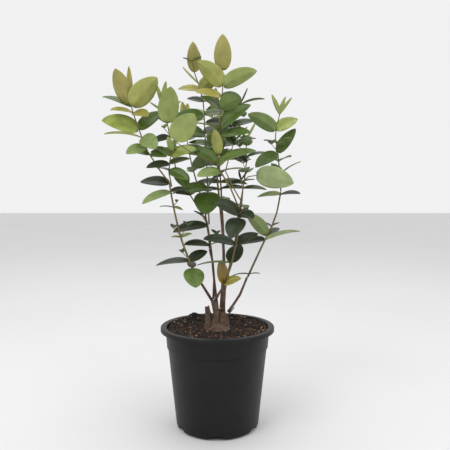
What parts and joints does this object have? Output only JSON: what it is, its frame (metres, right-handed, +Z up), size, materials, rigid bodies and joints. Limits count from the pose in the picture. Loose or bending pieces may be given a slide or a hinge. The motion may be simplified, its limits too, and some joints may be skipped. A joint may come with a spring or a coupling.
{
  "type": "potted tutsan shrub",
  "caption": "Young flowering shrub with thin woody stems and opposite pairs of oval leaves, growing in a round tapered nursery pot full of soil.",
  "frame": {"origin": "middle of the pot's flat underside, on the surface it stands on", "axes": "+Z up through the pot and the plant, -Y towards the side with the yellowed leaf, +X to the right seen from there"},
  "size_m": [0.2892, 0.2306, 0.5759],
  "materials": {
    "pot": "satin moulded black plastic",
    "soil": "rough dark bark compost",
    "bark": "dull reddish brown bark",
    "leaf_dark": "dark green leaves",
    "leaf_green": "green leaves",
    "leaf_mid": "mid green leaves",
    "leaf_lime": "lime green young leaves",
    "leaf_olive": "olive and bronze leaf tips"
  },
  "bodies": {
    "root": {"pot": "pot", "soil": "soil", "root_crown": "bark", "stem_left": "bark", "stem_mid_left": "bark", "stem_centre": "bark", "stem_mid_right": "bark", "stem_right": "bark", "stem_back_left": "bark", "stem_back": "bark", "stem_back_right": "bark", "foliage_left": "leaf_dark", "foliage_left_arm": "leaf_olive", "foliage_left_inner": "leaf_mid", "foliage_mid_left": "leaf_dark", "foliage_inner_left": "leaf_lime", "foliage_bronze": "leaf_green", "foliage_centre": "leaf_green", "foliage_mid_right": "leaf_dark", "foliage_mid_right_top": "leaf_dark", "foliage_crown": "leaf_mid", "foliage_middle": "leaf_green", "foliage_right": "leaf_dark", "foliage_right_top": "leaf_mid", "foliage_back_left": "leaf_green", "foliage_back": "leaf_green", "foliage_back_right": "leaf_green"}
  },
  "joints": []
}
